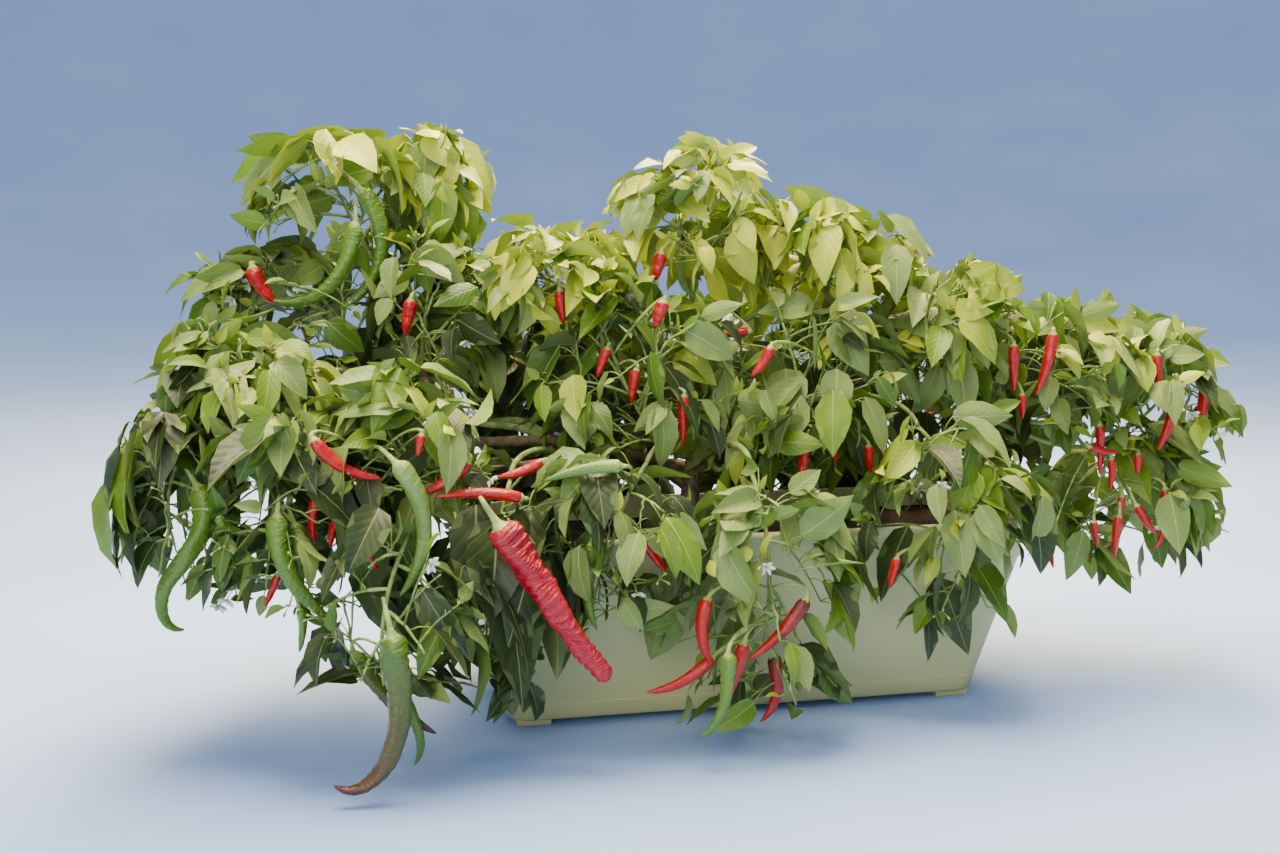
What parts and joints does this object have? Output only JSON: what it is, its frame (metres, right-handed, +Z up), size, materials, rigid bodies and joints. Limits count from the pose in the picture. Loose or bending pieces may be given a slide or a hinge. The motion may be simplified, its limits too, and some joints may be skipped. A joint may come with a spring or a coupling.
{
  "type": "potted chilli pepper plant",
  "caption": "Bushy chilli pepper plant with drooping leaves and long hanging red and green pods, arching out of a tapered rectangular trough filled with soil.",
  "frame": {"origin": "on the floor, under the middle of the whole plant's box", "axes": "+X runs along the trough's length to the right of a viewer in front, +Y to the back, +Z up"},
  "size_m": [1.5894, 0.7216, 0.7867],
  "materials": {
    "pot": "satin moulded plastic",
    "soil": "moist and crumbly",
    "bark": "woody and ridged",
    "green_wood": "smooth green stem",
    "leaf": "soft satin leaf"
  },
  "bodies": {
    "root": {"pot": "pot", "soil": "soil", "trunk": "bark", "bough_crown_peak": "green_wood", "bough_left_front": "green_wood", "bough_right_shoulder": "green_wood", "bough_left_mid": "green_wood", "bough_front_low": "green_wood", "bough_back_mid_left": "green_wood", "bough_back_mid_right": "green_wood", "bough_peak_right": "green_wood", "bough_saddle": "green_wood", "bough_centre_left": "green_wood", "bough_centre_right": "green_wood", "bough_right_high": "green_wood", "bough_right_tip": "green_wood", "bough_right_droop": "green_wood", "bough_right_front": "green_wood", "bough_front_left": "green_wood", "bough_front_dark": "green_wood", "bough_left_hang": "green_wood", "bough_left_outer": "green_wood", "bough_left_tip": "green_wood", "bough_left_join": "green_wood", "bough_tall_low": "green_wood", "bough_tall_left": "green_wood", "bough_tall_right": "green_wood", "bough_back_left": "green_wood", "bough_back_right": "green_wood", "bough_back_low_left": "green_wood", "bough_back_low_right": "green_wood", "foliage_crown_peak": "leaf", "foliage_left_front": "leaf", "foliage_right_shoulder": "leaf", "foliage_left_mid": "leaf", "foliage_front_low": "leaf", "foliage_back_mid_left": "leaf", "foliage_back_mid_right": "leaf", "foliage_peak_right": "leaf", "foliage_saddle": "leaf", "foliage_centre_left": "leaf", "foliage_centre_right": "leaf", "foliage_right_high": "leaf", "foliage_right_tip": "leaf", "foliage_right_droop": "leaf", "foliage_right_front": "leaf", "foliage_front_left": "leaf", "foliage_front_dark": "leaf", "foliage_left_hang": "leaf", "foliage_left_outer": "leaf", "foliage_left_tip": "leaf", "foliage_left_join": "leaf", "foliage_tall_low": "leaf", "foliage_tall_left": "leaf", "foliage_tall_right": "leaf", "foliage_back_left": "leaf", "foliage_back_right": "leaf", "foliage_back_low_left": "leaf", "foliage_back_low_right": "leaf"}
  },
  "joints": []
}
